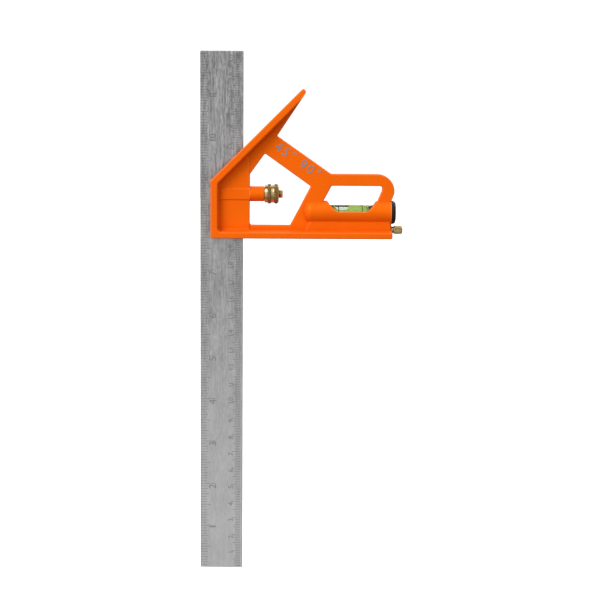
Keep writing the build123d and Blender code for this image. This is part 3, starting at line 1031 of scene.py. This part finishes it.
def add_ramp(tree, sine, steps):
    """Brightness by the sine of an angle, from steps that run from -90 to 90 degrees."""
    share = tree.nodes.new("ShaderNodeMapRange")
    share.inputs["From Min"].default_value = -1.0
    tree.links.new(sine, share.inputs["Value"])
    ramp = tree.nodes.new("ShaderNodeValToRGB")
    tree.links.new(share.outputs[0], ramp.inputs[0])
    stops = ramp.color_ramp.elements
    stops[0].color = grey(steps[0][1])
    stops[1].color = grey(steps[-1][1])
    for degrees, value in steps[1:-1]:
        stop = stops.new(0.5 + 0.5 * math.sin(math.radians(degrees)))
        stop.color = grey(value)
    return ramp.outputs[0]


def set_world():
    """Studio surround: plain white to the eye. What it lights and what metal reflects follows
    the height above the horizon, with a bright panel at the left and less light at the right."""
    world = bpy.data.worlds.new("studio")
    bpy.context.scene.world = world
    world.use_nodes = True
    tree = world.node_tree
    tree.nodes.clear()
    new = tree.nodes.new
    link = tree.links.new
    split = new("ShaderNodeSeparateXYZ")
    link(new("ShaderNodeTexCoord").outputs["Generated"], split.inputs[0])
    lit = new("ShaderNodeBackground")
    link(add_ramp(tree, split.outputs["Z"], WORLD_HEIGHTS), lit.inputs["Color"])
    link(add_ramp(tree, split.outputs["X"], WORLD_SIDES), lit.inputs["Strength"])
    seen = new("ShaderNodeBackground")
    seen.inputs["Color"].default_value = grey(1.0)
    seen.inputs["Strength"].default_value = BACKDROP_STRENGTH
    path = new("ShaderNodeLightPath")
    direct = new("ShaderNodeMath")
    direct.operation = "MAXIMUM"
    link(path.outputs["Is Camera Ray"], direct.inputs[0])
    link(path.outputs["Is Transmission Ray"], direct.inputs[1])
    chosen = new("ShaderNodeMixShader")
    link(direct.outputs[0], chosen.inputs[0])
    link(lit.outputs[0], chosen.inputs[1])
    link(seen.outputs[0], chosen.inputs[2])
    out = new("ShaderNodeOutputWorld")
    link(chosen.outputs[0], out.inputs["Surface"])


def add_softbox(name, place, aim, size, power, only):
    """Rectangular lamp. If a piece is named, the lamp lights only that piece."""
    light = bpy.data.lights.new(name, "AREA")
    light.shape = "RECTANGLE"
    light.size, light.size_y = size
    light.energy = power
    lamp = bpy.data.objects.new(name, light)
    bpy.context.scene.collection.objects.link(lamp)
    lamp.location = Vector(place)
    lamp.rotation_euler = (Vector(aim) - Vector(place)).to_track_quat("-Z", "Y").to_euler()
    if only:
        lit = bpy.data.collections.new(name)
        lit.objects.link(bpy.data.objects[only])
        lamp.light_linking.receiver_collection = lit


def add_camera():
    """Long lens, a little above the tool and almost square to its front."""
    camera = bpy.data.cameras.new("camera")
    camera.lens = LENS
    camera.sensor_width = SENSOR_WIDTH
    camera.clip_end = CLIP_END * MM
    eye = bpy.data.objects.new("camera", camera)
    bpy.context.scene.collection.objects.link(eye)
    tilt = Matrix.Rotation(math.radians(90 - CAMERA_TILT), 4, "X")
    roll = Matrix.Rotation(math.radians(CAMERA_ROLL), 4, "Z")
    turn = tilt @ roll
    back = turn @ Vector((0, 0, 1))
    place = Vector(CAMERA_TARGET) * MM + back * CAMERA_DISTANCE * MM
    eye.matrix_world = Matrix.Translation(place) @ turn
    bpy.context.scene.camera = eye


# ---------------------------------------------------------------- assembly


def dress(node, material):
    """Gives a CAD node its material."""
    materials = frame["nodes"][node].data.materials
    materials.clear()
    materials.append(material)


orange = powder_coat()
steel = brushed_steel("blade_brushed_steel", STEEL_GREYS, roughness=0.36)
etched_line = etched("etched_line", ETCHED_LINE_GREYS)
etched_numeral = etched("etched_numeral", ETCHED_NUMERAL_GREYS)
turned_brass = brass("turned_brass", TURNED_BRASS)
knurl_painted_shade_brass = brass("knurl_painted_shade_brass", KNURL_PAINTED_SHADE_BRASS)
spring_metal = plain_metal("spring_wire", 0.35, roughness=0.3)
needle_metal = plain_metal("needle_steel", 0.5, roughness=0.25)
black_plastic = matte("black_plastic", BLACK_PLASTIC_PAINTED_WARM, roughness=0.5, depth=0.02, specular=0.22)
black_print = matte("black_print", BLACK_PRINT, roughness=0.5, depth=0.005)
marking_paint = matte("marking_paint", MARKING_PAINT, roughness=0.55, depth=0.01)
stopper_plastic = matte("stopper_plastic", STOPPER_PLASTIC, roughness=0.4, depth=0.01)

dress("head_casting", orange)
dress("scriber_needle", needle_metal)
dress("vial_plug", black_plastic)
dress("vial_stopper", stopper_plastic)
dress("vial_index_rings", black_print)
make_blade(steel, etched_line, etched_numeral)
make_nut(turned_brass, knurl_painted_shade_brass)
make_bolt(turned_brass)
make_spring(spring_metal)
make_vial()
make_bubble()
make_knob(turned_brass)
make_marking(marking_paint)

add_floor()
set_world()
for softbox in SOFTBOXES:
    add_softbox(*softbox)
add_camera()
bpy.context.scene.view_settings.view_transform = "Standard"
